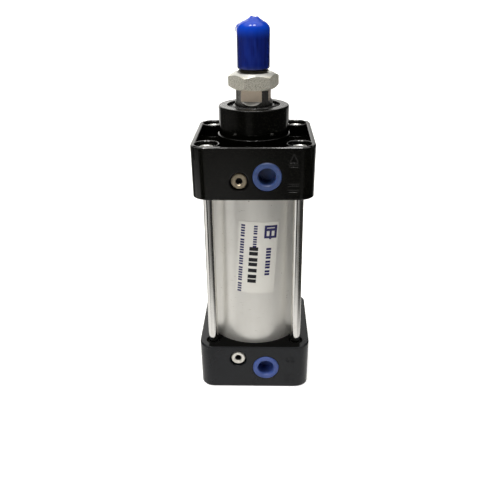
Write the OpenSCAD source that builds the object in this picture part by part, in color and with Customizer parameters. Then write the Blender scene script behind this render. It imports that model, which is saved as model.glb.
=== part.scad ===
// Tie-rod pneumatic cylinder, 50 mm bore, 50 mm stroke, drawn fully retracted.
// The origin is the centre of the rear cap's outer face. +Z runs along the rod, the ports face -Y.

/* [Cylinder] */
// Bore of the tube
bore_d = 50; // [49:0.5:51]
// Travel of the piston
stroke = 50; // [30:5:50]
// Wall of the tube
tube_wall = 2; // [1.5:0.25:2.5]
// Length over both end caps
body_l = 143; // [143:1:200]

/* [End caps] */
// Width of the square end caps
cap_w = 62.5; // [61:0.5:64]
// Thickness of each end cap
cap_t = 27.5; // [27:0.5:29]
// Radius of the caps' upright corners
cap_corner_r = 7.7; // [6:0.1:8]
// Casting draft on each side of a cap, over its thickness
cap_draft = 0.3; // [0.1:0.1:0.5]
// Width of the rim around the recessed outer face
rim_w = 2.2; // [2:0.1:3.5]
// Depth of the recess in the outer face
recess_depth = 6.5; // [2:0.5:6.5]
// Diameter of the round boss on the front cap
boss_d = 37.2; // [36:0.2:38]
// Height of the front boss above the rim
boss_h = 15; // [12:1:18]
// Length of the round spigot that enters the tube
spigot_l = 5.5; // [5:0.5:6]

/* [Tie rods] */
// Spacing of the tie rods
tie_pitch = 47; // [46.5:0.5:47.5]
// Shank diameter of a tie rod
tie_rod_d = 5.4; // [5:0.1:5.5]
// Diameter of the hole that holds a tie-rod nut
nut_hole_d = 11.8; // [11.6:0.1:12]
// Depth of a tie-rod nut's outer end below the rim
nut_sink = 1.4; // [1:0.2:2]
// Length of a tie-rod nut
tie_nut_l = 15.4; // [15:0.2:16]
// Drilled diameter of the nut's free M6 thread
nut_thread_d = 5; // [4.9:0.05:5.1]

/* [Rod] */
// Diameter of the piston rod
rod_d = 20; // [19.5:0.5:20]
// Width across the rod's four spanner flats
flats_w = 17; // [16:0.5:18]
// Outer diameter of the rod's M16 thread
thread_d = 15.8; // [15.7:0.05:15.9]
// Pitch of the rod's thread
thread_pitch = 1.5; // [1.25:0.25:1.5]
// Length of the rod's thread
thread_l = 30.5; // [29.5:0.5:31.5]
// Width across the flats of the rod nut
rod_nut_w = 23; // [22:0.5:24]
// Thickness of the rod nut
rod_nut_t = 8; // [7:0.5:8]

/* [Ports and needles] */
// Drilled diameter of the G1/4 ports
port_d = 11.45; // [11.4:0.05:11.6]
// Sideways place of the front port
front_port_x = 7.1; // [5:0.1:8.5]
// Height of the front port above the front cap's tube side
front_port_z = 12.5; // [12:0.1:14]
// Sideways place of the rear port
rear_port_x = 6.6; // [5:0.1:8.5]
// Distance of the rear port from the rear cap's tube side
rear_port_z = 14; // [13:0.1:14]
// Sideways place of the front cushion needle
front_needle_x = -7; // [-8:0.1:-6.5]
// Height of the front needle above the front cap's tube side
front_needle_z = 10; // [9.5:0.1:10.5]
// Sideways place of the rear cushion needle
rear_needle_x = -9.2; // [-9.5:0.1:-8]
// Distance of the rear needle from the rear cap's tube side
rear_needle_z = 8; // [7.5:0.1:8.5]
// Diameter of a cushion needle's head
needle_d = 8.1; // [8:0.05:8.2]

/* [Label] */
// Width of the label, measured round the tube
label_w = 21; // [15:1:25]
// Height of the label
label_h = 42; // [30:1:45]
// Tilt of the label on the tube
label_tilt = 4; // [0:1:6]

/* [Hidden] */
$fn = 96;

gap = 0.05;               // running and assembly clearance on a radius
cut = 0.5;                // how far a cutter runs past the surface it cuts
bore_r = bore_d / 2;
tube_r = bore_r + tube_wall;
half_w = cap_w / 2;
front_z = body_l - cap_t; // tube-side face of the front cap
plate = 0.01;             // thickness of the slices that a cap's outer form spans

// tube-side ends and cushion chambers of the caps
spigot_r = bore_r - 0.1;
tube_groove_r = 23;
tube_groove_z = [-4.1, -1.7];
seal_seat_z = -4.5;
front_chamber_r = 14;
front_chamber_end = 18.5;
rear_chamber_r = 12;
rear_chamber_end = 20.5;
seal_seat_w = 3;
chamber_reach = 8;        // how near the axis the side drillings end
front_sleeve_r = 13;
rear_sleeve_r = 11;
sleeve_l = 18;

// rod guide in the boss
bushing_r = 12;
bushing_z = 19;
wiper_r = 14;
wiper_z = 34.5;
boss_top = cap_t + boss_h;
foot_r = 19.15;           // step round the foot of the boss, level with the rim
nut_free_l = 9.5;         // free thread in a tie-rod nut
tie_end_z = nut_sink + nut_free_l + 0.1;
tie_thread_r = 2.95;
rod_clearance = 0.6;      // round the rod inside the front cap

// piston and the stepped inner end of the rod
piston_slack = 0.25;
piston_z = cap_t + spigot_l + piston_slack;
piston_l = body_l - 2 * (cap_t + spigot_l) - stroke - 2 * piston_slack;
piston_mid = piston_z + piston_l / 2;
piston_top = piston_z + piston_l;
piston_r = bore_r - 0.4;
stud_r = 6;
stud_z = 8.5;
piston_nut_t = 6;
seal_groove_r = 20.5;
seal_groove_w = 5;
wear_groove_r = 23;
wear_ring_w = 8;
seal_offset = 8.5;        // of each piston seal from the piston's middle
shoulder_z = piston_top + sleeve_l;
rod_end_z = body_l + boss_h + 39;
thread_z = rod_end_z - thread_l;
flat_end_z = thread_z - 5.8;
flat_turn = -7;
nut_turn = 10;
nut_to_protector = 1.9;   // thread left bare between the rod nut and its protector
crest = 0.92;             // depth of the thread's grooves

// port plugs and cushion needles, measured inwards from the caps' front faces
plug_flange_d = 14.6;
plug_flange_t = 1.4;
plug_sink = 0.8;
plug_hole_d = 9;
plug_l = 9;
needle_mouth_d = 9.8;
needle_mouth_depth = 2;
needle_sink = 0.5;
needle_head_l = 6;
needle_groove = 2.4;      // groove of the needle's O-ring, from the head's face
needle_ring_w = 2;
needle_shank_r = 3;
needle_shank_l = 4;
needle_tip_l = 7.5;
needle_tip_r = 1.3;
needle_seat_depth = 15;
feed_depth = 12.9;
feed_r = 1.2;
mark_depth = 0.35;        // of the cast marks in the caps' front faces
mark_x = 20.3;
mark_z = 7.2;             // above and below a cap's middle

// ---- shared shapes ----

// square outline with round corners, from two crossing squares and four circles
module rounded_square(half, r) {
  square([2 * half, 2 * (half - r)], center = true);
  square([2 * (half - r), 2 * half], center = true);
  for (sx = [-1, 1], sy = [-1, 1]) translate([sx * (half - r), sy * (half - r)]) circle(r);
}

// round bar between two heights
module bar(r, z0, z1) {
  translate([0, 0, z0]) cylinder(r = r, h = z1 - z0);
}

// ring between two heights
module ring(r_out, r_in, z0, z1) {
  difference() {
    bar(r_out, z0, z1);
    bar(r_in, z0 - cut, z1 + cut);
  }
}

// round-section ring
module o_ring(r, section_r) {
  rotate_extrude() translate([r, 0]) circle(section_r, $fn = 32);
}

// its children at the four tie rods
module at_tie_rods() {
  for (sx = [-1, 1], sy = [-1, 1]) translate([sx, sy, 0] * tie_pitch / 2) children();
}

// its children on a cap's front face, with +Z pointing into the cap
module into_face(x, z, front) {
  translate([x, -front, z]) rotate([-90, 0, 0]) children();
}

// its children in the rear cap's place: z runs outwards from the tube side
module at_rear() {
  translate([0, 0, cap_t]) mirror([0, 0, 1]) children();
}

module at_front() {
  translate([0, 0, front_z]) children();
}

// ---- end caps, with z = 0 at the tube side and z = cap_t at the outer face ----

// drafted outer form with its edges broken, from its half widths at the tube side and outer face
module cap_form(half_in, half_out) {
  edge = 0.5;
  levels = [
    [0, half_in - edge], [edge, half_in],
    [cap_t - edge, half_out], [cap_t - plate, half_out - edge]
  ];
  hull() for (l = levels) translate([0, 0, l[0]]) linear_extrude(plate)
    rounded_square(l[1], cap_corner_r, $fn = 64);
}

// recess between the rim, the four nut bosses and the middle boss
module face_recess(half) {
  floor_z = cap_t - recess_depth;
  nut_boss_wall = 1.1;
  nut_boss_r = nut_hole_d / 2 + nut_boss_wall;
  bevel = 0.3;
  open = half - rim_w;
  difference() {
    union() {
      translate([-open, -open, floor_z]) cube([2 * open, 2 * open, recess_depth + cut]);
      hull() {
        translate([-open, -open, cap_t - bevel]) cube([2 * open, 2 * open, plate]);
        translate([-open - bevel, -open - bevel, cap_t])
          cube([2 * (open + bevel), 2 * (open + bevel), cut]);
      }
    }
    at_tie_rods() {
      bar(nut_boss_r, floor_z - cut, cap_t - bevel);
      translate([0, 0, cap_t - bevel]) cylinder(r1 = nut_boss_r, r2 = nut_boss_r - bevel, h = bevel);
      bar(nut_boss_r - bevel, cap_t, cap_t + 2 * cut);
    }
    bar(foot_r, floor_z - cut, cap_t + 2 * cut);
  }
}

// holes for the tie rods and their nuts
module tie_rod_holes() {
  hole_bevel = 0.4;
  shank_clearance = 0.9;
  at_tie_rods() {
    bar(tie_rod_d / 2 + shank_clearance, -cut, cap_t);
    bar(nut_hole_d / 2, cap_t - nut_sink - tie_nut_l, cap_t + cut);
    translate([0, 0, cap_t - hole_bevel])
      cylinder(r1 = nut_hole_d / 2, r2 = nut_hole_d / 2 + hole_bevel + cut, h = hole_bevel + cut);
  }
}

// threaded port with a spot face for the plug's flange
module port_hole(x, z, front) {
  flange_clearance = 0.2;
  into_face(x, z, front) {
    bar(port_d / 2, -cut, front - chamber_reach);
    bar(plug_flange_d / 2 + flange_clearance, -cut, plug_sink);
  }
}

// needle hole, its seat into the chamber and the drilling that feeds it
module needle_hole(x, z, front) {
  head_room = 0.6;
  seat_clearance = 0.2;
  head_end = needle_sink + needle_head_l + head_room;
  into_face(x, z, front) {
    bar(needle_mouth_d / 2, -cut, needle_mouth_depth);
    bar(needle_d / 2 + gap, -cut, head_end);
    bar(needle_shank_r + gap, head_end - cut, needle_seat_depth);
    bar(needle_tip_r + seat_clearance, head_end, front - chamber_reach);
  }
  translate([x, feed_depth - front, 0]) bar(feed_r, -spigot_l - cut, z);
}

// shallow marks cast in a cap's front face, upright in both caps: a triangle on a bar
// above the middle, and two short bars below it
module cast_marks(front, upright) {
  bar_w = 5.2;
  bar_h = 1;
  bar_pitch = 3.2;
  triangle_w = 4.2;
  triangle_h = 4.4;
  triangle_z = mark_z - 1.3;
  bar_drop = 1.7;           // of the upper bar below the triangle
  way = upright ? -1 : 1;
  into_face(mark_x, cap_t / 2, front) translate([0, 0, -cut]) linear_extrude(mark_depth + cut) {
    for (z = [triangle_z - bar_drop, bar_pitch / 2 - mark_z, -bar_pitch / 2 - mark_z])
      translate([0, way * z]) square([bar_w, bar_h], center = true);
    translate([0, way * triangle_z])
      polygon([[-triangle_w / 2, 0], [triangle_w / 2, 0], [0, way * triangle_h]]);
  }
}

// short mark beside a needle
module needle_mark(x, z, front) {
  mark_gap = 8;
  mark_w = 2.6;
  mark_h = 0.8;
  into_face(x - mark_gap, z, front) translate([0, 0, -cut]) linear_extrude(mark_depth + cut)
    square([mark_w, mark_h], center = true);
}

// spigot that centres the tube, with its O-ring groove
module spigot() {
  difference() {
    bar(spigot_r, -spigot_l, cut);
    ring(spigot_r + cut, tube_groove_r, tube_groove_z[0], tube_groove_z[1]);
  }
}

module front_cap() color([0.07, 0.07, 0.065]) at_front() {
  front = half_w + cap_draft / 2;
  top_round = 0.9;
  difference() {
    union() {
      difference() {
        cap_form(half_w, half_w + cap_draft);
        face_recess(half_w + cap_draft);
      }
      rotate_extrude() polygon(concat(
        [[0, cap_t - cut], [boss_d / 2, cap_t - cut]],
        [for (a = [0:15:90]) [boss_d / 2, boss_top] + top_round * [cos(a) - 1, sin(a) - 1]],
        [[0, boss_top]]
      ));
      spigot();
    }
    tie_rod_holes();
    bar(front_chamber_r, -spigot_l - cut, front_chamber_end);
    bar(front_chamber_r + seal_seat_w, seal_seat_z, 0);
    bar(rod_d / 2 + rod_clearance, 0, boss_top + cut);
    bar(bushing_r, bushing_z, boss_top);
    bar(wiper_r, wiper_z, boss_top + cut);
    port_hole(front_port_x, front_port_z, front);
    needle_hole(front_needle_x, front_needle_z, front);
    needle_mark(front_needle_x, front_needle_z, front);
    cast_marks(front, true);
  }
}

module rear_cap() color([0.11, 0.11, 0.12]) at_rear() {
  front = half_w - cap_draft / 2;
  dish_r = 15;
  dish_depth = 1;
  difference() {
    union() {
      difference() {
        cap_form(half_w, half_w - cap_draft);
        face_recess(half_w - cap_draft);
      }
      spigot();
    }
    tie_rod_holes();
    bar(dish_r, cap_t - dish_depth, cap_t + cut);
    bar(rear_chamber_r, -spigot_l - cut, rear_chamber_end);
    bar(rear_chamber_r + seal_seat_w, seal_seat_z, 0);
    port_hole(rear_port_x, rear_port_z, front);
    needle_hole(rear_needle_x, rear_needle_z, front);
    cast_marks(front, false);
  }
}

// ---- tube, tie rods and seals of the barrel ----

module barrel_tube() color([0.75, 0.74, 0.7]) {
  mouth = 0.4;
  difference() {
    ring(tube_r, bore_r, cap_t, front_z);
    translate([0, 0, cap_t - gap]) cylinder(r1 = bore_r + mouth, r2 = bore_r, h = mouth);
    translate([0, 0, front_z + gap - mouth]) cylinder(r1 = bore_r, r2 = bore_r + mouth, h = mouth);
  }
}

// the rods' ends reach into the nuts; their rolled threads are drawn at the full diameter
module tie_rods() color([0.85, 0.85, 0.87]) at_tie_rods() {
  thread_len = 16;
  bar(tie_rod_d / 2, tie_end_z + cut, body_l - tie_end_z - cut);
  bar(tie_thread_r, tie_end_z, tie_end_z + thread_len);
  bar(tie_thread_r, body_l - tie_end_z - thread_len, body_l - tie_end_z);
}

// hexagon nut whose outer end keeps a free M6 thread for fixing the cylinder
module tie_rod_nut() {
  nut_r = 5.7;
  collar_r = 3.4;
  collar_l = 2;
  bevel = 0.4;
  difference() {
    union() {
      rotate([0, 0, 15]) cylinder(r = nut_r, h = tie_nut_l - collar_l, $fn = 6);
      bar(collar_r, 0, tie_nut_l);
    }
    bar(nut_thread_d / 2, -cut, tie_nut_l + cut);
    bar(tie_thread_r + gap, -cut, tie_nut_l - nut_free_l);
    translate([0, 0, tie_nut_l - bevel])
      cylinder(r1 = nut_thread_d / 2, r2 = nut_thread_d / 2 + bevel + cut, h = bevel + cut);
  }
}

module cap_tie_rod_nuts() {
  at_tie_rods() translate([0, 0, cap_t - nut_sink - tie_nut_l]) tie_rod_nut();
}

module front_tie_rod_nuts() color([0.8, 0.8, 0.8]) at_front() cap_tie_rod_nuts();

module rear_tie_rod_nuts() color([0.8, 0.8, 0.8]) at_rear() cap_tie_rod_nuts();

module tube_o_ring() {
  section_r = 0.93;
  translate([0, 0, (tube_groove_z[0] + tube_groove_z[1]) / 2]) o_ring(bore_r - gap - section_r, section_r);
}

module front_tube_o_ring() color([0.05, 0.05, 0.05]) at_front() tube_o_ring();

module rear_tube_o_ring() color([0.05, 0.05, 0.05]) at_rear() tube_o_ring();

// lip seal in a cap that closes round the cushion sleeve
module cushion_seal(seat_r, sleeve_r) {
  lip = 1.4;
  lip_h = 2;
  z0 = seal_seat_z + gap;
  rotate_extrude() polygon([
    [sleeve_r + gap, z0], [sleeve_r + gap + lip, z0], [sleeve_r + gap + lip, z0 + lip_h],
    [seat_r - gap - lip, z0 + lip_h], [seat_r - gap - lip / 2, z0], [seat_r - gap, z0],
    [seat_r - gap, -gap], [sleeve_r + 1, -gap], [sleeve_r + gap, -gap - 1]
  ]);
}

module front_cushion_seal() color([0.25, 0.45, 0.25]) at_front()
  cushion_seal(front_chamber_r + seal_seat_w, front_sleeve_r);

module rear_cushion_seal() color([0.25, 0.45, 0.25]) at_rear()
  cushion_seal(rear_chamber_r + seal_seat_w, rear_sleeve_r);

module rod_bushing() color([0.72, 0.55, 0.25]) at_front()
  ring(bushing_r - gap, rod_d / 2 + gap, bushing_z + gap, wiper_z - gap);

module rod_wiper_seal() color([0.06, 0.06, 0.06]) at_front() {
  lip = 1.2;
  lip_h = 2.5;
  waist = 0.8;
  body_top = boss_top - lip;
  tip_z = boss_top - 0.2;
  inner = rod_d / 2 + gap;
  rotate_extrude() polygon([
    [inner, wiper_z + gap], [inner + lip, wiper_z + gap], [inner + lip, wiper_z + lip_h],
    [wiper_r - lip, wiper_z + lip_h], [wiper_r - lip, wiper_z + gap], [wiper_r - gap, wiper_z + gap],
    [wiper_r - gap, body_top], [inner + 2, body_top], [inner + 0.7, tip_z], [inner, tip_z],
    [inner + waist, body_top - 1], [inner + waist, wiper_z + lip_h + 1.5], [inner, wiper_z + lip_h + 0.5]
  ]);
}

module tube_label() color([0.86, 0.86, 0.84]) {
  lift = 0.02;
  thick = 0.13;
  label_x = 1.6;
  label_z = 81;
  intersection() {
    ring(tube_r + lift + thick, tube_r + lift, cap_t, front_z);
    translate([label_x, -tube_r, label_z]) rotate([0, label_tilt, 0])
      cube([label_w, tube_r, label_h], center = true);
  }
}

// ---- piston, seals and rod ----

// lip ring in one half of the piston
module piston_seal() {
  z0 = -seal_groove_w / 2 + gap;
  z1 = seal_groove_w / 2 - gap;
  inner = seal_groove_r + gap;
  outer = bore_r - gap;
  heel = 0.6;
  lip_z = 0.8;
  rotate_extrude() polygon([
    [inner, z0], [outer - heel, z0], [outer - heel, z0 + lip_z], [outer, z1 - lip_z],
    [outer - heel / 2, z1], [outer - 1.5, z1], [(inner + outer) / 2, z1 - 2], [inner + 1, z1], [inner, z1]
  ]);
}

module piston_seals() color([0.12, 0.12, 0.12]) {
  translate([0, 0, piston_mid + seal_offset]) piston_seal();
  translate([0, 0, piston_mid - seal_offset]) mirror([0, 0, 1]) piston_seal();
}

module wear_ring() color([0.35, 0.2, 0.1]) translate([0, 0, piston_mid]) difference() {
  ring(bore_r - gap, wear_groove_r + gap, gap - wear_ring_w / 2, wear_ring_w / 2 - gap);
  // scarf cut that lets the ring spring over the piston
  translate([0, bore_r, 0]) rotate([0, 30, 0]) cube([0.6, bore_r / 3, 3 * wear_ring_w], center = true);
}

// one of the two alike discs, with z = 0 on the face where they meet
module piston_half(with_recess) {
  recess = 2.2;
  difference() {
    bar(piston_r, 0, piston_l / 2);
    ring(piston_r + 1, wear_groove_r, -cut, wear_ring_w / 2);
    ring(piston_r + 1, seal_groove_r, seal_offset - seal_groove_w / 2, seal_offset + seal_groove_w / 2);
    bar(stud_r + gap, -cut, piston_l / 2 + cut);
    if (with_recess) bar(stud_r + recess, -cut, recess);
  }
}

module piston_front_half() color([0.75, 0.75, 0.77]) translate([0, 0, piston_mid]) piston_half(true);

module piston_rear_half() color([0.75, 0.75, 0.77])
  translate([0, 0, piston_mid]) mirror([0, 0, 1]) piston_half(false);

module piston_o_ring() color([0.05, 0.05, 0.05]) {
  section_r = 1;
  translate([0, 0, piston_mid + section_r + gap]) o_ring(stud_r + gap + section_r + gap, section_r);
}

// sleeve that closes a cushion chamber, with z = 0 on the piston's face
module cushion_sleeve(r) {
  lead = 2;
  taper = 0.6;
  difference() {
    union() {
      bar(r, 0, sleeve_l - lead);
      translate([0, 0, sleeve_l - lead]) cylinder(r1 = r, r2 = r - taper, h = lead);
    }
    bar(stud_r + gap, -cut, sleeve_l + cut);
  }
}

module front_cushion_sleeve() color([0.8, 0.8, 0.82]) translate([0, 0, piston_top])
  cushion_sleeve(front_sleeve_r);

module rear_cushion_sleeve() color([0.8, 0.8, 0.82]) translate([0, 0, piston_z]) mirror([0, 0, 1])
  cushion_sleeve(rear_sleeve_r);

// hexagon nut with its corners turned off at both ends, further at its outer end
module hex_nut(width, thick, bore_radius, top_share) {
  mouth = 0.6;
  corner_r = width / sqrt(3);
  seat_r = width * 0.475;
  top_r = width * top_share;
  blank_r = corner_r + 1;
  seat_drop = (blank_r - seat_r) * tan(30);
  top_drop = (blank_r - top_r) * tan(30);
  difference() {
    intersection() {
      cylinder(r = corner_r, h = thick, $fn = 6);
      rotate_extrude() polygon([
        [0, 0], [seat_r, 0], [blank_r, seat_drop], [blank_r, thick - top_drop], [top_r, thick], [0, thick]
      ]);
    }
    bar(bore_radius, -cut, thick + cut);
    translate([0, 0, thick - mouth])
      cylinder(r1 = bore_radius, r2 = bore_radius + mouth + cut, h = mouth + cut);
    translate([0, 0, -cut]) cylinder(r1 = bore_radius + mouth + cut, r2 = bore_radius, h = mouth + cut);
  }
}

module piston_nut() color([0.7, 0.7, 0.7])
  translate([0, 0, piston_z - sleeve_l - piston_nut_t]) hex_nut(18, piston_nut_t, stud_r + gap, 0.475);

// cutter for the four spanner flats, with a sloping run-out at their lower end
module spanner_flats() {
  run_out = 2.4;
  outside = rod_d;
  top_z = thread_z + plate;
  for (turn = [0:90:270]) rotate([0, 0, flat_turn + turn]) translate([-outside, 0, 0])
    rotate([90, 0, 90]) linear_extrude(2 * outside) polygon([
      [-flats_w / 2, top_z], [-flats_w / 2, flat_end_z],
      [-rod_d / 2 - cut, flat_end_z - run_out], [-outside, flat_end_z - run_out],
      [-outside, top_z]
    ]);
}

module piston_rod() color([0.8, 0.8, 0.82]) {
  root_r = thread_d / 2 - crest;
  crest_r = thread_d / 2;
  turns = floor((thread_l - 4) / thread_pitch);
  first = thread_z + 2;
  last = first + turns * thread_pitch;
  end_bevel = 1.8;
  difference() {
    rotate_extrude() polygon(concat(
      [[0, stud_z], [stud_r - 1, stud_z], [stud_r, stud_z + 1], [stud_r, shoulder_z],
       [rod_d / 2, shoulder_z], [rod_d / 2, thread_z - 0.4], [rod_d / 2 - 0.4, thread_z],
       [root_r, thread_z]],
      [for (i = [0:turns - 1]) each [
        [root_r, first + (i + 0.1) * thread_pitch], [crest_r, first + (i + 0.45) * thread_pitch],
        [crest_r, first + (i + 0.6) * thread_pitch], [root_r, first + (i + 0.95) * thread_pitch]
      ]],
      [[root_r, last + 0.3], [crest_r, last + 0.9], [crest_r, rod_end_z - end_bevel],
       [crest_r - end_bevel, rod_end_z], [0, rod_end_z]]
    ));
    spanner_flats();
  }
}

// ---- pieces on the rod's outer end ----

module rod_nut() color([0.66, 0.64, 0.58]) translate([0, 0, thread_z]) rotate([0, 0, nut_turn])
  hex_nut(rod_nut_w, rod_nut_t, thread_d / 2 + gap, 0.43);

// pull-off thread protector: thin cup with a round shoulder and the stub of its sprue
module rod_thread_cap() color([0.1, 0.17, 0.6]) {
  low_z = thread_z + rod_nut_t + nut_to_protector;
  low_r = 8.4;
  dome_z = rod_end_z - 2.1;
  round_r = 7;
  round_h = 5.6;
  flat_r = 1.5;
  sprue_r = 2.3;
  top_z = dome_z + round_h;
  inner = thread_d / 2 + gap;
  rotate_extrude() polygon(concat(
    [[inner, low_z], [low_r - 0.25, low_z], [low_r, low_z + 0.4]],
    [for (a = [0:8:80]) [flat_r + round_r * cos(a), dome_z + round_h * sin(a)]],
    [[sprue_r, top_z], [sprue_r - 0.2, top_z + 0.6], [1, top_z + 1], [0, top_z + 1.1],
     [0, rod_end_z + gap], [inner - 1.8, rod_end_z + gap], [inner, rod_end_z - 1.8]]
  ));
}

// ---- port plugs and cushion needles ----

// push-in plug: a flange and a hollow tapered body, with z = 0 at the flange's face
module port_plug() {
  body_r = port_d / 2 - gap;
  hole_r = plug_hole_d / 2;
  flange_r = plug_flange_d / 2;
  rotate_extrude() polygon([
    [hole_r + 0.5, 0], [flange_r - 0.4, 0], [flange_r, 0.4], [flange_r, plug_flange_t],
    [body_r, plug_flange_t], [body_r - 0.4, plug_l], [0, plug_l], [0, plug_l - 1],
    [hole_r - 0.2, plug_l - 1], [hole_r, 0.6]
  ]);
}

module place_plug(x, z, front) {
  into_face(x, z, front - plug_sink + plug_flange_t) port_plug();
}

module front_port_plug() color([0.2, 0.28, 0.6]) at_front()
  place_plug(front_port_x, front_port_z, half_w + cap_draft / 2);

module rear_port_plug() color([0.2, 0.28, 0.6]) at_rear()
  place_plug(rear_port_x, rear_port_z, half_w - cap_draft / 2);

// cushion needle, with z = 0 at its head's face and its tip pointing along +Z
module needle() {
  head_r = needle_d / 2;
  neck_r = 2.6;
  socket_w = 3;             // across the flats of the hexagon socket
  socket_depth = 3.2;
  mouth_r = 2.2;
  mouth_depth = 0.7;
  ring_end = needle_groove + needle_ring_w;
  shank_end = needle_head_l + needle_shank_l;
  difference() {
    rotate_extrude() polygon([
      [0, 0], [head_r - 0.5, 0], [head_r, 0.5], [head_r, needle_groove], [neck_r, needle_groove],
      [neck_r, ring_end], [head_r, ring_end], [head_r, needle_head_l],
      [needle_shank_r, needle_head_l], [needle_shank_r, shank_end],
      [needle_tip_r, shank_end + 1], [needle_tip_r, shank_end + needle_tip_l - 2],
      [0.3, shank_end + needle_tip_l], [0, shank_end + needle_tip_l]
    ]);
    translate([0, 0, -cut]) cylinder(r = socket_w / sqrt(3), h = socket_depth + cut, $fn = 6);
    translate([0, 0, -plate]) cylinder(r1 = mouth_r, r2 = socket_w / 2, h = mouth_depth);
  }
}

module needle_o_ring() {
  section_r = 0.68;
  translate([0, 0, needle_groove + needle_ring_w / 2]) o_ring(needle_d / 2 - section_r, section_r);
}

module place_needle(x, z, front) {
  into_face(x, z, front - needle_sink) children();
}

module front_cushion_needle() color([0.74, 0.7, 0.6]) at_front()
  place_needle(front_needle_x, front_needle_z, half_w + cap_draft / 2) needle();

module rear_cushion_needle() color([0.74, 0.7, 0.6]) at_rear()
  place_needle(rear_needle_x, rear_needle_z, half_w - cap_draft / 2) needle();

module front_needle_o_ring() color([0.05, 0.05, 0.05]) at_front()
  place_needle(front_needle_x, front_needle_z, half_w + cap_draft / 2) needle_o_ring();

module rear_needle_o_ring() color([0.05, 0.05, 0.05]) at_rear()
  place_needle(rear_needle_x, rear_needle_z, half_w - cap_draft / 2) needle_o_ring();

front_cap();
rear_cap();
barrel_tube();
tie_rods();
front_tie_rod_nuts();
rear_tie_rod_nuts();
front_tube_o_ring();
rear_tube_o_ring();
front_cushion_seal();
rear_cushion_seal();
rod_bushing();
rod_wiper_seal();
tube_label();
piston_seals();
wear_ring();
piston_rod();
piston_front_half();
piston_rear_half();
piston_o_ring();
piston_nut();
front_cushion_sleeve();
rear_cushion_sleeve();
rod_nut();
rod_thread_cap();
front_port_plug();
rear_port_plug();
front_cushion_needle();
rear_cushion_needle();
front_needle_o_ring();
rear_needle_o_ring();
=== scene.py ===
"""Looks of a tie-rod pneumatic cylinder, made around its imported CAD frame.

Lengths are in millimetres in this file and are turned into metres where objects are made.
"""
import math

import bmesh
import bpy
from mathutils import Matrix, Vector, noise


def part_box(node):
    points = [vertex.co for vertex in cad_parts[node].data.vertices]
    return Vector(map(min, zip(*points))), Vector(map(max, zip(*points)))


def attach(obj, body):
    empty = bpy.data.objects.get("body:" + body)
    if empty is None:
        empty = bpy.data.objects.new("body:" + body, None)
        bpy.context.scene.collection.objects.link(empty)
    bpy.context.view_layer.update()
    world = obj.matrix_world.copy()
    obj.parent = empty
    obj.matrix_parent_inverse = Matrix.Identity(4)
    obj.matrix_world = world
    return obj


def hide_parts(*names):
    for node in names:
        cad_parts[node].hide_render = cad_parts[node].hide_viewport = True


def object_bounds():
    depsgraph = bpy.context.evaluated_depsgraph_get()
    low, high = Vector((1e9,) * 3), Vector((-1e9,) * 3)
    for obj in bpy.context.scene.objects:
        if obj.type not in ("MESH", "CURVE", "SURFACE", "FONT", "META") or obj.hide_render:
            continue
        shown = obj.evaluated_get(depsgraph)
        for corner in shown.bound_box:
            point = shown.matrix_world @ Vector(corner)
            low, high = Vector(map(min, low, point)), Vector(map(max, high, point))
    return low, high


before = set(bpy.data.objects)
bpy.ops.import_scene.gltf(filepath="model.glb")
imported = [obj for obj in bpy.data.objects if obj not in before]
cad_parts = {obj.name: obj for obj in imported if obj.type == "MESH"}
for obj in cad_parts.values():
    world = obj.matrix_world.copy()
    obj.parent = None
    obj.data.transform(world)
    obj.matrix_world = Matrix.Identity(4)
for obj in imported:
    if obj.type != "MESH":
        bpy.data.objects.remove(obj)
cad_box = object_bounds()

MM = 0.001


# ---------------------------------------------------------------- frame measures

def box_mm(node):
    """Lowest and highest corner of a CAD node, in millimetres."""
    low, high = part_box(node)
    return low / MM, high / MM


CAP_LOW, CAP_HIGH = box_mm("rod_thread_cap")
LABEL_LOW, LABEL_HIGH = box_mm("tube_label")
TUBE_LOW, TUBE_HIGH = box_mm("barrel_tube")
FRONT_HIGH = box_mm("front_cap")[1]
ROD_HIGH = box_mm("piston_rod")[1]
NUT_LOW, NUT_HIGH = box_mm("rod_nut")

THREAD_Z = NUT_LOW.z                 # shoulder under the rod nut
FLATS_HALF = 8.5                     # the spanner flats' distance from the axis
FLATS_Z = THREAD_Z - 5.8             # their lower end
FLATS_TURN = math.radians(-7)        # their turn from the caps' sides
RUN_OUT_RISE = 1.2                   # height of the slope below them, for 1 mm outwards
WIPED_Z = FRONT_HIGH.z - 5           # the rod is clean below this, where the seal wipes it
TIE_AT = 23.5                        # tie rods' distance from the axis in X and in Y
REAR_SEAT_Z = TUBE_LOW.z             # the caps' faces on the tube's side
FRONT_SEAT_Z = TUBE_HIGH.z


# ---------------------------------------------------------------- node kit

# places of a Mix node's two values and of its result among its sockets, for each kind of data
MIX_SOCKETS = {"FLOAT": (2, 3, 0), "RGBA": (6, 7, 2)}


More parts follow.
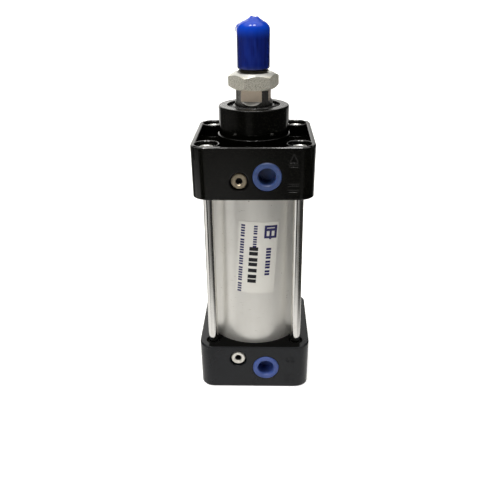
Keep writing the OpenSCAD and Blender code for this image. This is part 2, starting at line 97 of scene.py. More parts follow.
class Nodes:
    """Plain calls that add nodes to a tree. A value is a number, a tuple or a node's output."""

    def __init__(self, tree):
        self.tree = tree

    def put(self, socket, value):
        if isinstance(value, bpy.types.NodeSocket):
            self.tree.links.new(value, socket)
        else:
            socket.default_value = value

    def math(self, operation, a, b=0.0, c=0.0):
        made = self.tree.nodes.new("ShaderNodeMath")
        made.operation = operation
        for socket, value in zip(made.inputs, (a, b, c)):
            self.put(socket, value)
        return made.outputs[0]

    def vector(self, operation, a, b=None, scale=None):
        made = self.tree.nodes.new("ShaderNodeVectorMath")
        made.operation = operation
        self.put(made.inputs[0], a)
        if b is not None:
            self.put(made.inputs[1], b)
        if scale is not None:
            made.inputs["Scale"].default_value = scale
        return made.outputs["Value" if operation == "DOT_PRODUCT" else "Vector"]

    def part(self, vector, axis):
        """One axis of a vector."""
        made = self.tree.nodes.new("ShaderNodeSeparateXYZ")
        self.put(made.inputs[0], vector)
        return made.outputs[axis]

    def length(self, x, y):
        squares = [self.math("MULTIPLY", side, side) for side in (x, y)]
        return self.math("SQRT", self.math("ADD", *squares))

    def mix(self, kind, share, low, high):
        """From low to high as share goes from 0 to 1. The kind is FLOAT or RGBA."""
        made = self.tree.nodes.new("ShaderNodeMix")
        made.data_type = kind
        at_0, at_1, result = MIX_SOCKETS[kind]
        self.put(made.inputs[0], share)
        self.put(made.inputs[at_0], low)
        self.put(made.inputs[at_1], high)
        return made.outputs[result]

    def between(self, value, low, high, at_low=0.0, at_high=1.0):
        """A smooth ramp from at_low to at_high as value goes from low to high."""
        made = self.tree.nodes.new("ShaderNodeMapRange")
        made.interpolation_type = "SMOOTHSTEP"
        numbers = {"From Min": low, "From Max": high, "To Min": at_low, "To Max": at_high}
        for name, number in numbers.items():
            made.inputs[name].default_value = number
        self.put(made.inputs["Value"], value)
        return made.outputs["Result"]

    def near(self, value, target, reach):
        """1 where value is within reach of target, and 0 elsewhere."""
        off = self.math("ABSOLUTE", self.math("SUBTRACT", value, target))
        return self.between(off, 0.6 * reach, reach, 1, 0)

    def both(self, first, *others):
        """The product of two or more shares."""
        for share in others:
            first = self.math("MULTIPLY", first, share)
        return first


class Look(Nodes):
    """A procedural material. Its patterns are set in the object's own millimetres."""

    def __init__(self, name, colour, rough, metal=0.0, edge=0.0, **extra):
        self.mat = bpy.data.materials.new(name)
        self.mat.use_nodes = True
        super().__init__(self.mat.node_tree)
        self.shader = self.tree.nodes["Principled BSDF"]
        self.height = None
        self.edge = edge
        self.set("Base Color", (*colour, 1))
        self.set("Roughness", rough)
        self.set("Metallic", metal)
        for key, value in extra.items():
            self.set(key.replace("_", " "), value)
        coords = self.tree.nodes.new("ShaderNodeTexCoord")
        self.at = self.vector("SCALE", coords.outputs["Object"], scale=1 / MM)

    def set(self, name, value):
        self.put(self.shader.inputs[name], value)

    def now(self, name):
        """What feeds an input of the shader: an output if one is linked, or else its value."""
        socket = self.shader.inputs[name]
        return socket.links[0].from_socket if socket.links else socket.default_value

    def axis(self, name):
        return self.part(self.at, name)

    def noise(self, size, detail=2.0, stretch=(1, 1, 1), rough=0.55, warp=0.0):
        """Noise whose features are about size millimetres, longer by stretch along each axis."""
        made = self.tree.nodes.new("ShaderNodeTexNoise")
        made.noise_dimensions = "3D"
        self.put(made.inputs["Vector"], self.scaled(size, stretch))
        made.inputs["Scale"].default_value = 1.0
        made.inputs["Detail"].default_value = detail
        made.inputs["Roughness"].default_value = rough
        made.inputs["Distortion"].default_value = warp
        return made.outputs["Fac"]

    def patches(self, size, detail, low, high, most=1.0, **more):
        """Patches of noise: 0 where it is under low, and up to most where it is over high."""
        return self.between(self.noise(size, detail, **more), low, high, 0, most)

    def cells(self, size, stretch=(1, 1, 1)):
        """Distance to scattered points that are about size millimetres apart, from 0 up."""
        made = self.tree.nodes.new("ShaderNodeTexVoronoi")
        self.put(made.inputs["Vector"], self.scaled(size, stretch))
        made.inputs["Scale"].default_value = 1.0
        return made.outputs["Distance"]

    def scaled(self, size, stretch):
        return self.vector("DIVIDE", self.at, tuple(size * s for s in stretch))

    def round_of(self, x, y, axes="XY"):
        """Distance in millimetres from a line through (x, y) that runs along the third axis."""
        off = [self.math("SUBTRACT", self.axis(a), c) for a, c in zip(axes, (x, y))]
        return self.length(*off)

    def tint(self, share, colour):
        """The base colour goes to colour where share is 1."""
        self.set("Base Color", self.mix("RGBA", share, self.now("Base Color"), (*colour, 1)))

    def dull(self, share, rough):
        """The roughness goes to rough where share is 1."""
        self.set("Roughness", self.mix("FLOAT", share, self.now("Roughness"), rough))

    def relief(self, height, depth):
        """Adds bump: height runs from 0 to 1 and stands for depth millimetres."""
        scaled = self.math("MULTIPLY", height, depth)
        self.height = scaled if self.height is None else self.math("ADD", self.height, scaled)

    def done(self):
        """Links the bump, over edges that are shaded round to a radius of edge millimetres."""
        bump = self.tree.nodes.new("ShaderNodeBump")
        bump.inputs["Strength"].default_value = 1.0
        bump.inputs["Distance"].default_value = MM
        self.put(bump.inputs["Height"], 0.0 if self.height is None else self.height)
        if self.edge:
            rounded = self.tree.nodes.new("ShaderNodeBevel")
            rounded.samples = 8
            self.put(rounded.inputs["Radius"], self.math("MULTIPLY", self.edge, MM))
            self.put(bump.inputs["Normal"], rounded.outputs["Normal"])
        self.set("Normal", bump.outputs["Normal"])
        return self.mat


def paint(material, *nodes):
    """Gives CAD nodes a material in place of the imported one."""
    for name in nodes:
        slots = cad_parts[name].data.materials
        slots.clear()
        slots.append(material)


# ---------------------------------------------------------------- materials

def cast_black(name, colour, rough, grain, shine):
    """Black coated casting: fine orange peel, handling smudges and a few light rubs."""
    rubbed = tuple(c * 1.9 for c in colour)
    look = Look(name, colour, rough, edge=0.5, Specular_IOR_Level=shine)
    smudge = look.patches(9, 3, 0.45, 0.75, stretch=(1, 1, 1.6), warp=0.4)
    look.dull(smudge, rough + 0.08)
    fine = look.noise(0.35, 3)
    look.tint(look.patches(5, 4, 0.5, 0.8, 0.35), rubbed)
    look.relief(fine, grain)
    look.relief(look.noise(2.5, 2), 0.008)
    return look


def tie_rod_holes(look):
    """1 in the tie-rod holes and on their rims, and 0 elsewhere."""
    rim_r = 4.1
    off = [look.math("SUBTRACT", look.math("ABSOLUTE", look.axis(a)), TIE_AT) for a in "XY"]
    return look.between(look.length(*off), rim_r, rim_r + 0.3, 1, 0)


def front_cap_black():
    """Glossy black, with an oil film on top of the boss."""
    look = cast_black("front_cap_black", (0.0012, 0.0012, 0.0008), 0.09, 0.0008, 0.45)
    boss_top = FRONT_HIGH.z
    on_top = look.between(look.axis("Z"), boss_top - 0.4, boss_top - 0.1)
    film = look.noise(1.3, 4, (1.6, 1, 1), rough=0.7, warp=1.2)
    look.dull(look.both(on_top, look.between(film, 0.4, 0.6)), 0.04)
    look.relief(look.both(on_top, film), 0.2)
    return look.done()


def rear_cap_black():
    """Satin black, a little paler than the front cap as painted light, with painted shade in the
    tie-rod holes and on the seat between the rods: darker, rough and without shine there.
    """
    # painted light: this black is a little paler than the front cap's, for the light its face
    # catches
    look = cast_black("rear_cap_black", (0.0030, 0.0038, 0.0056), 0.22, 0.005, 0.36)
    seat_half = 25.0
    inner = look.between(look.math("ABSOLUTE", look.axis("X")), seat_half, seat_half + 1.5, 1, 0)
    at_seat = look.between(look.axis("Z"), REAR_SEAT_Z - 0.3, REAR_SEAT_Z - 0.15)
    holes = tie_rod_holes(look)
    look.edge = look.between(holes, 0, 1, look.edge, 0)
    # painted shade: the seat between the rods and the tie-rod holes are made darker and lose their
    # shine
    for share in (look.both(at_seat, inner), holes):
        look.dull(share, 0.75)
        look.tint(share, (0.004, 0.004, 0.0038))
        shine = look.now("Specular IOR Level")
        look.set("Specular IOR Level", look.both(look.between(share, 0, 1, 1, 0), shine))
    return look.done()


def tube_satin():
    """Clear-anodised tube: drawn lines along it, a soft mottle and small dark nicks."""
    look = Look("tube_satin", (0.80, 0.785, 0.74), 0.31, 0.76)
    lines = look.noise(0.22, 4, (1, 1, 90), rough=0.7)
    look.dull(look.between(lines, 0.35, 0.7), 0.38)
    look.relief(lines, 0.003)
    look.tint(look.patches(6, 3, 0.35, 0.7, 0.5, stretch=(1, 1, 2)), (0.75, 0.73, 0.68))
    nick = look.between(look.cells(3.1, (1.6, 1.6, 0.7)), 0.055, 0.10, 1, 0)
    nicked = look.patches(7, 1, 0.58, 0.63)
    look.tint(look.both(nick, nicked), (0.25, 0.23, 0.19))
    scuff = look.patches(0.5, 3, 0.63, 0.72, stretch=(9, 9, 1))
    scuffed = look.patches(5, 2, 0.5, 0.65)
    look.tint(look.both(scuff, scuffed), (0.5, 0.48, 0.42))
    look.relief(look.noise(0.12, 2), 0.0015)
    return look.done()


def bright_steel():
    """Bright drawn rods, with painted shade on their threads inside the caps: dark and rough there.
    """
    look = Look("bright_steel", (0.86, 0.85, 0.82), 0.09, 1.0)
    lines = look.noise(0.5, 3, (1, 1, 25))
    look.dull(look.between(lines, 0.4, 0.75), 0.17)
    look.tint(look.patches(4, 3, 0.5, 0.75, 0.5, stretch=(1, 1, 3)), (0.66, 0.62, 0.53))
    z = look.axis("Z")
    # painted shade: the rods are coloured dark where they run inside the caps' holes
    for seat_z, inward in ((REAR_SEAT_Z, -0.1), (FRONT_SEAT_Z, 0.1)):
        inside_cap_shade = look.between(z, seat_z + inward, seat_z, 1, 0)
        look.tint(inside_cap_shade, (0.03, 0.03, 0.028))
        look.dull(inside_cap_shade, 0.6)
    look.relief(look.noise(3, 2, (1, 1, 2)), 0.010)
    return look.done()


def zinc_nut():
    """Bright zinc, dull in patches."""
    look = Look("zinc_nut", (0.78, 0.78, 0.76), 0.34, 1.0, edge=0.3)
    look.dull(look.patches(1.2, 3, 0.4, 0.7), 0.45)
    look.tint(look.patches(2, 3, 0.5, 0.75, 0.5), (0.6, 0.58, 0.5))
    look.relief(look.noise(0.3, 2), 0.004)
    return look.done()


def rod_nut_zinc():
    """Dull grainy zinc with a yellow cast and pale patches, a little darker on top."""
    look = Look("rod_nut_zinc", (0.90, 0.87, 0.76), 0.28, 0.76, edge=0.45)
    grain = look.noise(0.45, 4, rough=0.65)
    look.tint(look.between(grain, 0.42, 0.66, 0, 0.8), (0.36, 0.33, 0.23))
    look.tint(look.patches(1.6, 3, 0.52, 0.7, 0.7, stretch=(1, 1, 0.6)), (0.93, 0.90, 0.82))
    top = look.between(look.axis("Z"), NUT_HIGH.z - 1.4, NUT_HIGH.z - 0.8)
    look.tint(look.both(top, 0.8), (0.62, 0.62, 0.58))
    look.dull(look.between(grain, 0.4, 0.7), 0.5)
    look.relief(grain, 0.08)
    return look.done()


def rod_steel():
    """Hard chrome on the shank, milled flats with a run-out, and an oily dark thread above."""
    look = Look("rod_steel", (0.80, 0.79, 0.76), 0.14, 1.0, edge=0.15)
    smear = look.noise(1.1, 4, (1, 1, 2.2), rough=0.65, warp=0.8)
    look.dull(look.between(smear, 0.42, 0.65), 0.22)
    z = look.axis("Z")
    handled = look.between(z, WIPED_Z - 1, WIPED_Z + 1)
    look.tint(look.both(handled, look.between(smear, 0.47, 0.7, 0, 0.7)), (0.34, 0.33, 0.30))
    look.relief(look.both(handled, smear), 0.09)
    thread = look.between(z, THREAD_Z - 0.1, THREAD_Z + 0.1)
    look.tint(thread, (0.17, 0.16, 0.14))
    look.dull(thread, 0.38)
    across, along = math.cos(FLATS_TURN), math.sin(FLATS_TURN)
    sides = [look.math("ABSOLUTE", look.vector("DOT_PRODUCT", look.at, direction))
             for direction in ((across, along, 0), (-along, across, 0))]
    out = look.math("MAXIMUM", *sides)
    above = look.both(look.between(z, FLATS_Z, FLATS_Z + 0.05), look.between(thread, 0, 1, 1, 0))
    on_flat = look.both(look.between(out, FLATS_HALF - 0.12, FLATS_HALF - 0.05), above)
    milled = look.noise(0.7, 4, rough=0.7)
    look.tint(on_flat, (0.50, 0.42, 0.33))
    look.tint(look.both(on_flat, look.between(milled, 0.5, 0.7, 0, 0.6)), (0.40, 0.34, 0.28))
    look.dull(on_flat, 0.45)
    look.relief(look.both(on_flat, milled), 0.08)
    ramp = look.math("MULTIPLY_ADD", z, -1 / RUN_OUT_RISE, FLATS_HALF + FLATS_Z / RUN_OUT_RISE)
    on_ramp = look.both(look.near(look.math("SUBTRACT", out, ramp), 0.0, 0.08),
                        look.between(z, FLATS_Z - 0.05, FLATS_Z, 1, 0))
    look.tint(on_ramp, (0.22, 0.215, 0.205))
    look.dull(on_ramp, 0.4)
    look.set("Metallic", look.between(on_flat, 0, 1, 1, 0.45))
    return look.done()


def blue_vinyl():
    """Dip-moulded glossy vinyl: dark navy, with painted light that turns the dome a brighter blue.
    """
    look = Look("blue_vinyl", (0.002, 0.008, 0.095), 0.11, Specular_IOR_Level=0.4)
    lines = look.noise(0.9, 3, (1, 1, 30))
    look.tint(look.between(lines, 0.4, 0.7, 0, 0.6), (0.001, 0.004, 0.050))
    look.tint(look.patches(6, 2, 0.5, 0.7, 0.35, stretch=(1, 1, 3)), (0.008, 0.025, 0.19))
    # painted light: the dome, which faces the overhead light, is coloured a much brighter blue
    dome_top = look.between(look.axis("Z"), ROD_HIGH.z - 6.5, ROD_HIGH.z + 1.5)
    look.tint(dome_top, (0.003, 0.044, 0.42))
    look.dull(look.patches(1.5, 3, 0.5, 0.75, stretch=(1, 1, 3)), 0.24)
    look.dull(dome_top, 0.05)
    look.relief(lines, 0.02)
    look.relief(look.noise(2.2, 2), 0.03)
    return look.done()


def blue_polythene(name, colour):
    """Satin moulded plug with a fine matt grain."""
    deeper = tuple(c * 0.7 for c in colour)
    look = Look(name, colour, 0.42, Specular_IOR_Level=0.4,
                Subsurface_Weight=0.15, Subsurface_Scale=0.001)
    look.tint(look.patches(2.2, 3, 0.4, 0.7, 0.5), deeper)
    look.dull(look.patches(0.8, 3, 0.45, 0.7), 0.55)
    look.relief(look.noise(0.25, 2), 0.006)
    return look.done()


def needle_nickel(node, colour):
    """Nickel-plated head, with painted shade that makes its hexagon socket black."""
    low, high = box_mm(node)
    metal = 0.85
    socket_r, socket_from = 2.0, 0.25
    deeper = tuple(c * 0.72 for c in colour)
    look = Look(node + "_nickel", colour, 0.28, metal, edge=0.2)
    look.tint(look.patches(1.3, 3, 0.45, 0.7, 0.6), deeper)
    look.dull(look.patches(0.5, 3, 0.4, 0.7), 0.42)
    look.relief(look.noise(0.25, 2), 0.006)
    away = look.round_of((low.x + high.x) / 2, (low.z + high.z) / 2, "XZ")
    depth = look.math("SUBTRACT", look.axis("Y"), low.y)
    # painted shade: the socket's inside is coloured black and given no metal shine
    inside = look.both(look.between(away, socket_r, socket_r + 0.2, 1, 0),
                       look.between(depth, socket_from, socket_from + 0.3))
    look.tint(inside, (0.004, 0.004, 0.004))
    look.dull(inside, 0.8)
    look.set("Metallic", look.between(inside, 0, 1, metal, 0))
    return look.done()


def label_film():
    """Silvery film, paler than the tube and faintly uneven."""
    look = Look("label_film", (0.80, 0.785, 0.73), 0.33, 0.62)
    look.tint(look.patches(4, 3, 0.4, 0.7, 0.4), (0.78, 0.755, 0.70))
    look.dull(look.patches(0.7, 2, 0.4, 0.7), 0.38)
    look.relief(look.noise(3.5, 2), 0.015)
    return look.done()


def ink(name, colour):
    """Printing ink that is a little thin in places."""
    thin = tuple(min(1, c * 3 + 0.02) for c in colour)
    look = Look(name, colour, 0.45, Specular_IOR_Level=0.4)
    look.tint(look.patches(0.3, 3, 0.5, 0.75, 0.35), thin)
    look.dull(look.patches(0.6, 2, 0.4, 0.7), 0.6)
    return look.done()


def black_rubber():
    """Matt O-ring rubber."""
    look = Look("black_rubber", (0.012, 0.012, 0.012), 0.55)
    look.dull(look.patches(0.8, 3, 0.4, 0.7), 0.7)
    look.relief(look.noise(0.2, 2), 0.006)
    return look.done()


def oiled_seal():
    """Black seal under an uneven oil film."""
    look = Look("oiled_seal", (0.014, 0.014, 0.014), 0.3)
    film = look.noise(1.5, 4, rough=0.7, warp=1.0)
    look.dull(look.between(film, 0.42, 0.6), 0.08)
    look.relief(film, 0.12)
    return look.done()


def green_rubber():
    """Green cushion seal."""
    look = Look("green_rubber", (0.03, 0.12, 0.05), 0.5)
    look.dull(look.patches(0.8, 3, 0.4, 0.7), 0.65)
    look.relief(look.noise(0.2, 2), 0.006)
    return look.done()


def bronze():
    """Sintered bronze with dark pores."""
    look = Look("bronze", (0.60, 0.40, 0.18), 0.35, 1.0)
    look.tint(look.patches(0.25, 3, 0.45, 0.65, 0.7), (0.32, 0.2, 0.09))
    look.relief(look.noise(0.2, 2), 0.01)
    return look.done()


def wear_band():
    """Brown woven wear strip, its weave running round the piston."""
    look = Look("wear_band", (0.10, 0.045, 0.02), 0.55)
    look.tint(look.patches(0.5, 3, 0.45, 0.7, 0.6, stretch=(3, 3, 1)), (0.05, 0.022, 0.01))
    look.relief(look.noise(0.3, 2), 0.006)
    return look.done()


def turned_aluminium():
    """Bare turned aluminium, with tool lines round the axis."""
    look = Look("turned_aluminium", (0.78, 0.78, 0.79), 0.3, 1.0)
    rings = look.noise(0.18, 2, (60, 60, 1))
    look.dull(look.between(rings, 0.4, 0.7), 0.42)
    look.relief(rings, 0.006)
    return look.done()


def turned_steel():
    """Turned steel, with tool lines round the axis."""
    look = Look("turned_steel", (0.62, 0.61, 0.6), 0.22, 1.0)
    rings = look.noise(0.15, 2, (60, 60, 1))
    look.dull(look.between(rings, 0.4, 0.7), 0.34)
    look.relief(rings, 0.004)
    return look.done()


# ---------------------------------------------------------------- mesh kit

def finish_piece(name, mesh_data, material, body, shade=True):
    """Makes an object of a bmesh in millimetres, and lets it ride on a body."""
    bmesh.ops.remove_doubles(mesh_data, verts=mesh_data.verts, dist=1e-5)
    bmesh.ops.recalc_face_normals(mesh_data, faces=mesh_data.faces)
    bmesh.ops.scale(mesh_data, vec=(MM, MM, MM), verts=mesh_data.verts)
    mesh = bpy.data.meshes.new(name)
    mesh_data.to_mesh(mesh)
    mesh_data.free()
    mesh.materials.append(material)
    for face in mesh.polygons:
        face.use_smooth = shade
    piece = bpy.data.objects.new(name, mesh)
    bpy.context.scene.collection.objects.link(piece)
    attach(piece, body)
    return piece


def lathe(profile, segments, warp=None):
    """A closed surface of revolution from (radius, height) points; ends on the axis are closed."""
    made = bmesh.new()
    rings = []
    for radius, height in profile:
        if radius < 1e-6:
            rings.append([made.verts.new((0, 0, height))])
            continue
        ring = []
        for i in range(segments):
            turn = 2 * math.pi * i / segments
            point = Vector((radius * math.cos(turn), radius * math.sin(turn), height))
            ring.append(made.verts.new(warp(point) if warp else point))
        rings.append(ring)
    for low, high in zip(rings, rings[1:] + rings[:1]):
        if len(low) == 1 and len(high) == 1:
            continue
        for i in range(segments):
            j = (i + 1) % segments
            if len(low) == 1:
                made.faces.new((low[0], high[j], high[i]))
            elif len(high) == 1:
                made.faces.new((low[i], low[j], high[0]))
            else:
                made.faces.new((low[i], low[j], high[j], high[i]))
    return made


def arc(centre, radius, start, end, steps):
    """Points on an ellipse's arc between two angles in degrees."""
    return [
        (centre[0] + radius[0] * math.cos(math.radians(start + (end - start) * i / steps)),
         centre[1] + radius[1] * math.sin(math.radians(start + (end - start) * i / steps)))
        for i in range(steps + 1)
    ]


# ---------------------------------------------------------------- thread protector

def thread_protector(material):
    """Dip-moulded cup: rippled side, round shoulder, the sprue's mound on top, a curl of flash."""
    low_z = CAP_LOW.z
    top_z = CAP_HIGH.z
    mound_h = 1.7
    dome_h = 5.0
    dome_z = top_z - mound_h - dome_h
    mouth_r = 8.4
    dome_r = CAP_HIGH.x
    flat_r = 1.5
    inner_r = 7.95
    crown_z = ROD_HIGH.z + 0.05          # the cup's inner end, just over the rod's
    crown_bevel = 1.8
    mouth_bevel = 0.15
    lip_h = 0.5
    mound_at, mound_r, mound_rise = 0.5, 4.6, 1.25
    lumps = [(-1.0, -0.3, 1.3, 0.5), (2.2, 0, 1.5, 0.25), (0.6, 0, 1.0, -0.3)]
    lumpiness = 0.12
    ripple_depth = 0.08

    def hump(x, y, at_x, at_y, width):
        """A round hump of height 1 that falls to 0 at width from its middle."""
        away = min(1.0, math.hypot(x - at_x, y - at_y) / width)
        return (1 - away * away) ** 2

    def drawn(point):
        """Ripples along the side, and the sprue's uneven mound on the dome."""
        radius = math.hypot(point.x, point.y)
        if point.z > dome_z + dome_h / 2:
            x, y = point.x, point.y
            mound = hump(x, y, mound_at, 0, mound_r)
            rise = mound_rise * mound ** 0.75
            for at_x, at_y, width, height in lumps:
                rise += height * hump(x, y, at_x, at_y, width)
            rise += lumpiness * noise.noise(Vector((x, y, 0.5))) * mound
            return Vector((x, y, min(top_z, point.z + rise)))
        if radius < inner_r + 0.1:
            return point
        turn = math.atan2(point.y, point.x)
        ripple = noise.noise(Vector((4 * math.cos(turn), 4 * math.sin(turn), point.z * 0.04)))
        share = 1 - ripple_depth * abs(ripple) / radius
        return Vector((point.x * share, point.y * share, point.z))

    rows = 12
    side = [(mouth_r + (dome_r - mouth_r) * i / rows,
             low_z + lip_h + (dome_z - low_z - lip_h) * i / rows) for i in range(rows + 1)]
    shoulder = arc((flat_r, dome_z), (dome_r - flat_r, dome_h), 4, 88, 42)
    crown = [(flat_r * (1 - i / 6), dome_z + dome_h) for i in range(7)]
    mouth = [(inner_r, low_z + mouth_bevel), (inner_r + mouth_bevel, low_z), (mouth_r - 0.2, low_z)]
    inside = [(0, crown_z), (inner_r - crown_bevel, crown_z), (inner_r, crown_z - crown_bevel)]
    profile = mouth + side + shoulder + crown + inside
    cup = finish_piece("thread_protector", lathe(profile, 120, drawn), material,
                       "thread_protector")
    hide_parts("rod_thread_cap")

    # the flash stands on the shoulder's left; its ridge is given from the axis and from dome_z
    ridge = [(-6.4, 3.3), (-7.5, 3.0), (-8.4, 2.2), (-8.95, 1.2), (-9.15, 0.3), (-9.05, -0.4)]
    thick = 0.3
    half_width = 0.7
    curl = bmesh.new()
    outer, inner = [], []
    for depth in (-half_width, 0.0, half_width):
        droop = 0.25 * depth * depth
        outer.append([curl.verts.new((x + droop * 0.3, depth, dome_z + z - droop))
                      for x, z in ridge])
        inner.append([curl.verts.new((x + thick, depth, dome_z + z - thick - droop))
                      for x, z in ridge])
    last = len(ridge) - 1
    for i in range(last):
        for j in range(2):
            k = j + 1
            curl.faces.new((outer[j][i], outer[j][i + 1], outer[k][i + 1], outer[k][i]))
            curl.faces.new((inner[j][i + 1], inner[j][i], inner[k][i], inner[k][i + 1]))
        for j in (0, 2):
            curl.faces.new((outer[j][i], inner[j][i], inner[j][i + 1], outer[j][i + 1]))
    for i in (0, last):
        for j in range(2):
            curl.faces.new((outer[j][i], outer[j + 1][i], inner[j + 1][i], inner[j][i]))
    finish_piece("protector_flash", curl, material, "thread_protector")


# ---------------------------------------------------------------- print on the label

LABEL_TILT = math.radians(4)
LABEL_R = -LABEL_LOW.y
LABEL_X = (LABEL_LOW.x + LABEL_HIGH.x) / 2
LABEL_Z = (LABEL_LOW.z + LABEL_HIGH.z) / 2
INK_LIFT = 0.006
INK_THICK = 0.02


def on_label(across, up, lift):
    """A point over the label, from its place across and up the tilted label."""
    x = LABEL_X + across * math.cos(LABEL_TILT) + up * math.sin(LABEL_TILT)
    z = LABEL_Z - across * math.sin(LABEL_TILT) + up * math.cos(LABEL_TILT)
    radius = LABEL_R + lift
    return Vector((x, -math.sqrt(radius ** 2 - x ** 2), z))


class Print:
    """Thin plates of ink that follow the label's curve. Places are across and up the label."""

    def __init__(self):
        self.mesh = bmesh.new()

    def plate(self, across, up, width, height):
        """A closed plate from its centre and its size, bent in a few strips."""
        strips = 4
        steps = [across - width / 2 + width * i / strips for i in range(strips + 1)]
        layers = [
            [[self.mesh.verts.new(on_label(a, u, lift)) for a in steps]
             for u in (up - height / 2, up + height / 2)]
            for lift in (INK_LIFT, INK_LIFT + INK_THICK)
        ]
        (low_in, high_in), (low_out, high_out) = layers
        for i in range(strips):
            self.mesh.faces.new((low_out[i], low_out[i + 1], high_out[i + 1], high_out[i]))
            self.mesh.faces.new((low_in[i + 1], low_in[i], high_in[i], high_in[i + 1]))
            self.mesh.faces.new((low_in[i], low_in[i + 1], low_out[i + 1], low_out[i]))
            self.mesh.faces.new((high_out[i], high_out[i + 1], high_in[i + 1], high_in[i]))
        self.mesh.faces.new((low_in[0], low_out[0], high_out[0], high_in[0]))
        self.mesh.faces.new((low_out[-1], low_in[-1], high_in[-1], high_out[-1]))

    def row(self, across, width, top, blocks, block, gap):
        """A column of plain blocks down the label; blocks lists how many stand in each group."""
        up = top
        for count in blocks:
            for _ in range(count):
                self.plate(across, up - block / 2, width, block)
                up -= block + gap
            up -= 1.5 * gap


def label_print(navy, black):
    """Plain blocks where a label has its lines of print, and a cylinder's plain outline."""
    fine = Print()
    fine.row(-8.3, 2.1, 19.2, [5, 6, 4, 6, 4], 0.98, 0.52)
    fine.row(-1.6, 2.0, 19.0, [4, 5], 0.9, 0.46)
    fine.row(6.1, 2.6, 6.2, [4, 3, 2], 1.25, 0.45)
    barrel_w, barrel_h, line = 6.6, 7.3, 1.25
    piston_up, piston_h = 1.2, 1.5
    rod_w, rod_h = 1.2, 5.4
    centre, middle = 6.4, 15.5
    for side in (-1, 1):
        fine.plate(centre + side * (barrel_w - line) / 2, middle, line, barrel_h)
        fine.plate(centre, middle + side * (barrel_h - line) / 2, barrel_w, line)
    fine.plate(centre, middle + piston_up, barrel_w - line, piston_h)
    fine.plate(centre, middle - 1.5, rod_w, rod_h)
    finish_piece("label_print_navy", fine.mesh, navy, "barrel", shade=False)
    bold = Print()
    bold.row(-1.9, 4.7, 6.6, [2, 2, 1, 2], 2.15, 0.6)
    finish_piece("label_print_black", bold.mesh, black, "barrel", shade=False)


# ---------------------------------------------------------------- stage

# What surrounds the object in its reflections: azimuth from and to with a soft edge, elevation
# from and to with a soft edge, all in degrees, and brightness. Azimuth 0 is the front (-Y) and 90
# is +X. Later panels lie over earlier ones, and the rest is a dim room.
DIM_ROOM = 0.03
PANELS = [
    (-150, -55, 14, -30, 12, 8, 0.13),       # dim wall at the left
    (-200, 200, 5, -91, -31.5, 3, 0.9),      # white table
    (-46, 34, 10, -91, -27.5, 4, 0.88),      # it reaches higher in front
    (-200, -50, 7, -91, -18.5, 3, 0.88),     # and higher still at the left
    (-45, -24, 5, -27, -12, 4, 0.04),        # narrow shade between the left and the front
    (-140, -108, 6, -28, -8, 5, 0.06),       # and one farther round
    (-17, 0, 5, -28, -16, 4, 0.38),          # vertical band in front
    (-24, -6, 6, -18, 14, 5, 0.13),          # which is fainter higher up
    (6, 28, 6, -28, -17, 4, 0.2),
    (-200, -141, 6, -60, 42, 9, 1.3),        # pale backdrop
    (135, 200, 7, -60, -12, 4, 0.85),
    (163, 200, 8, -60, 42, 9, 0.75),
    (-200, 200, 5, 50, 91, 9, 1.5),          # overhead light
    (-62, -24, 4, 68, 80, 2, 30.0),          # and its two lamps
    (6, 44, 4, 72, 84, 2, 30.0),
    (-200, 200, 5, -91, -60, 5, 0.08),       # shade under the object
]
LIGHT_COLOUR = (1.0, 0.985, 0.955, 1)
WHITE = (1, 1, 1, 1)


def glow_band(nodes, value, low, high, soft):
    """1 where an angle lies between low and high degrees, with soft edges."""
    rising = nodes.between(value, math.radians(low - soft), math.radians(low + soft))
    falling = nodes.between(value, math.radians(high - soft), math.radians(high + soft), 1, 0)
    return nodes.both(rising, falling)


def studio_world():
    """Plain white to the camera. Everything else sees a dim room and its panels."""
    world = bpy.data.worlds.new("studio")
    bpy.context.scene.world = world
    world.use_nodes = True
    tree = world.node_tree
    nodes = Nodes(tree)
    seen = tree.nodes.new("ShaderNodeTexCoord").outputs["Generated"]
    front = nodes.math("MULTIPLY", nodes.part(seen, "Y"), -1)
    azimuth = nodes.math("ARCTAN2", nodes.part(seen, "X"), front)
    elevation = nodes.math("ARCSINE", nodes.part(seen, "Z"))

    level = DIM_ROOM
    for az_low, az_high, az_soft, el_low, el_high, el_soft, brightness in PANELS:
        share = nodes.both(glow_band(nodes, azimuth, az_low, az_high, az_soft),
                           glow_band(nodes, elevation, el_low, el_high, el_soft))
        level = nodes.mix("FLOAT", share, level, brightness)

    lit = tree.nodes["Background"]
    lit.inputs["Color"].default_value = LIGHT_COLOUR
    nodes.put(lit.inputs["Strength"], level)
    plain = tree.nodes.new("ShaderNodeBackground")
    plain.inputs["Color"].default_value = WHITE
    path = tree.nodes.new("ShaderNodeLightPath")
    choose = tree.nodes.new("ShaderNodeMixShader")
    nodes.put(choose.inputs[0], path.outputs["Is Camera Ray"])
    nodes.put(choose.inputs[1], lit.outputs[0])
    nodes.put(choose.inputs[2], plain.outputs[0])
    nodes.put(tree.nodes["World Output"].inputs["Surface"], choose.outputs[0])


def pale_floor():
    """Wide pale floor. Reflections see the panels instead of it."""
    half_side = 40000
    gap = 0.1
    made = bmesh.new()
    bmesh.ops.create_grid(made, x_segments=2, y_segments=2, size=half_side * MM)
    mesh = bpy.data.meshes.new("floor")
    made.to_mesh(mesh)
    made.free()
    floor = bpy.data.objects.new("floor", mesh)
    floor.location.z = cad_box[0].z - gap * MM
    bpy.context.scene.collection.objects.link(floor)
    look = Look("floor_pale", (0.93, 0.93, 0.925), 0.9, Specular_IOR_Level=0.1,
                Emission_Color=WHITE, Emission_Strength=0.42)
    look.tint(look.patches(120, 2, 0.3, 0.7, 0.3), (0.91, 0.91, 0.91))
    mesh.materials.append(look.done())
    floor.visible_glossy = False


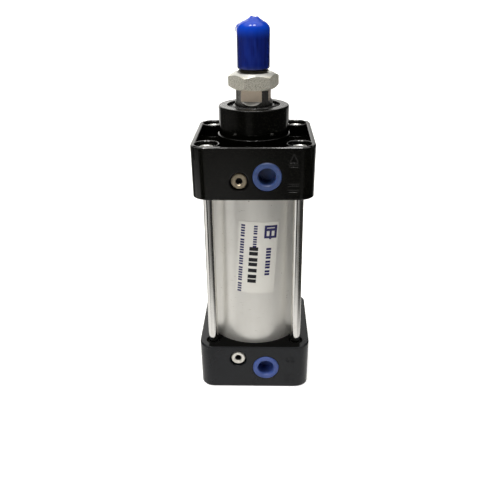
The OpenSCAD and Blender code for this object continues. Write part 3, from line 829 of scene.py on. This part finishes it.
def soft_light(name, place, side, watts):
    """A square lamp aimed at the object's middle. Reflections see the panels instead of it."""
    aim = Vector((0, 0, 100))
    light = bpy.data.lights.new(name, "AREA")
    light.shape = "RECTANGLE"
    light.size = light.size_y = side * MM
    light.energy = watts
    lamp = bpy.data.objects.new(name, light)
    lamp.location = Vector(place) * MM
    lamp.rotation_euler = (aim - Vector(place)).to_track_quat("-Z", "Y").to_euler()
    lamp.visible_glossy = False
    lamp.visible_camera = False
    bpy.context.scene.collection.objects.link(lamp)


def photo_camera():
    """The photo's view, which was found by fitting the object's outline."""
    place = Vector((6.56, -316.76, 219.14))
    yaw, pitch, roll = 0.02877, -0.42020, -0.01007
    data = bpy.data.cameras.new("camera")
    data.sensor_width = 36
    data.lens = 43.06
    data.shift_x = -0.0005
    data.shift_y = -0.0123
    data.clip_start = 0.01
    data.clip_end = 100
    camera = bpy.data.objects.new("camera", data)
    turn = Matrix.Rotation(yaw, 4, "Z") @ Matrix.Rotation(math.pi / 2 + pitch, 4, "X")
    turn = turn @ Matrix.Rotation(roll, 4, "Z")
    camera.matrix_world = Matrix.Translation(place * MM) @ turn
    bpy.context.scene.collection.objects.link(camera)
    bpy.context.scene.camera = camera


# ---------------------------------------------------------------- build

photo_camera()
studio_world()
pale_floor()
soft_light("key", (-350, -250, 750), 350, 1.1)
soft_light("side", (-600, -800, 300), 400, 3.0)
bpy.context.scene.view_settings.view_transform = "Standard"

paint(front_cap_black(), "front_cap")
paint(rear_cap_black(), "rear_cap")
paint(tube_satin(), "barrel_tube")
paint(bright_steel(), "tie_rods")
paint(zinc_nut(), "front_tie_rod_nuts", "rear_tie_rod_nuts", "piston_nut")
paint(black_rubber(), "front_tube_o_ring", "rear_tube_o_ring", "piston_o_ring",
      "front_needle_o_ring", "rear_needle_o_ring")
paint(green_rubber(), "front_cushion_seal", "rear_cushion_seal")
paint(bronze(), "rod_bushing")
paint(oiled_seal(), "rod_wiper_seal", "piston_seals")
paint(label_film(), "tube_label")
paint(wear_band(), "wear_ring")
paint(rod_steel(), "piston_rod")
paint(turned_aluminium(), "piston_front_half", "piston_rear_half")
paint(turned_steel(), "front_cushion_sleeve", "rear_cushion_sleeve")
paint(rod_nut_zinc(), "rod_nut")
# The two port plugs are the same blue plastic; the rear one is coloured paler as painted light.
paint(blue_polythene("plug_blue", (0.026, 0.050, 0.145)), "front_port_plug")
paint(blue_polythene("plug_blue_painted_light", (0.038, 0.068, 0.23)), "rear_port_plug")
# The two needles are the same nickel part, coloured apart as painted light and shade: the front one
# darker, the rear one paler.
paint(needle_nickel("front_cushion_needle", (0.46, 0.39, 0.28)), "front_cushion_needle")
paint(needle_nickel("rear_cushion_needle", (0.94, 0.91, 0.83)), "rear_cushion_needle")

thread_protector(blue_vinyl())
label_print(ink("ink_navy", (0.012, 0.010, 0.07)), ink("ink_black", (0.006, 0.006, 0.008)))
